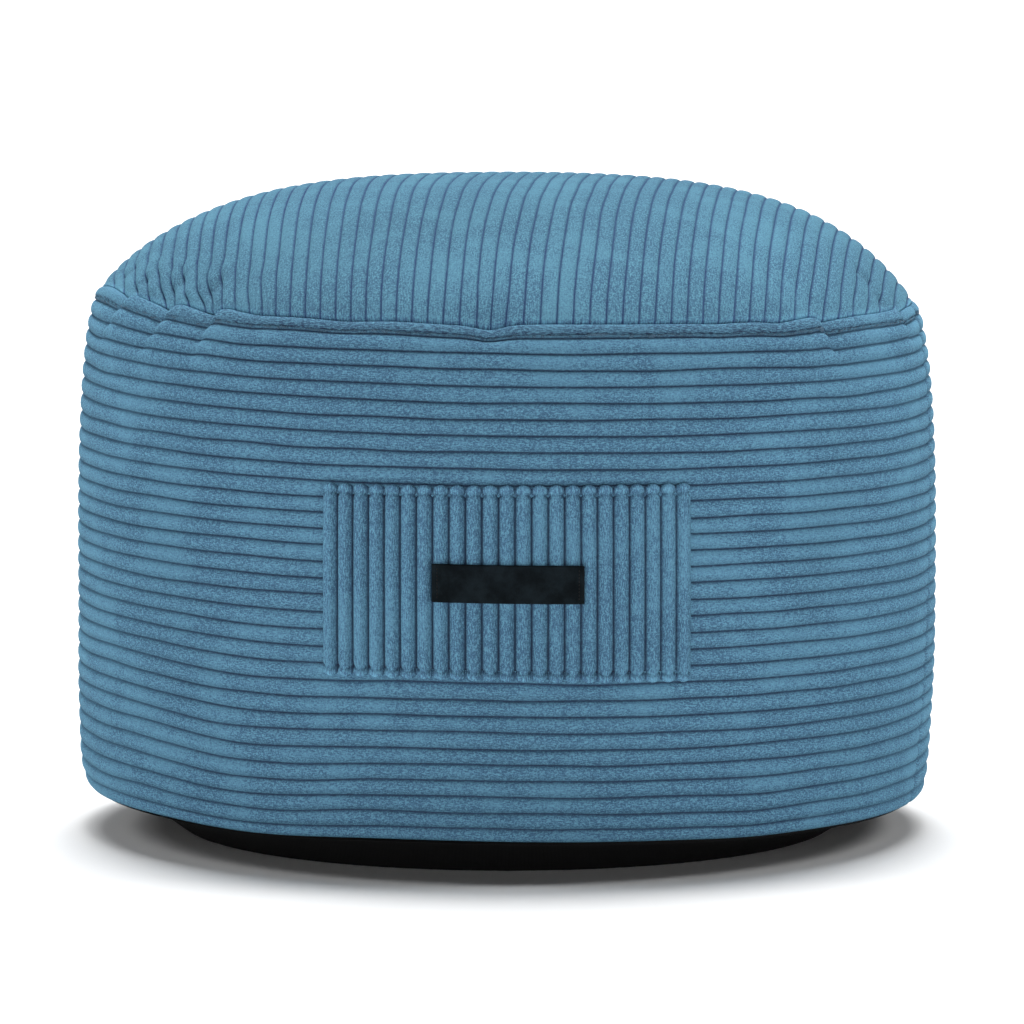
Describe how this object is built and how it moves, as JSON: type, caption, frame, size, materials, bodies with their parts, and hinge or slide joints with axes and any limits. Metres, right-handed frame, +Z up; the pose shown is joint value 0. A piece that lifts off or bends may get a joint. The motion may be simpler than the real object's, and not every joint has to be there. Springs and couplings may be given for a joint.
{
  "type": "foam footstool",
  "caption": "Low round footstool in wide-rib blue corduroy: crowned top, ribbed side band with a sewn front patch and leather label, and a black underside that rests on the floor.",
  "frame": {"origin": "on the floor, under the middle of the footstool", "axes": "+Z up; the patch and label are on the front, which faces -Y; +X is to the right seen from the front"},
  "size_m": [0.5006, 0.5047, 0.379],
  "materials": {
    "corduroy": "wide-rib corduroy, cut pile, matt with a soft nap",
    "corduroy_band": "wide-rib corduroy, cut pile, matt with a soft nap",
    "corduroy_patch": "wide-rib corduroy, cut pile, matt with a soft nap",
    "base_cloth": "plain black close-woven cloth, matt",
    "label_leather": "black leather, fine grain, satin"
  },
  "bodies": {
    "root": {"top_panel": "corduroy", "side_band": "corduroy_band", "front_patch": "corduroy_patch", "base_panel": "base_cloth", "label": "label_leather"}
  },
  "joints": []
}
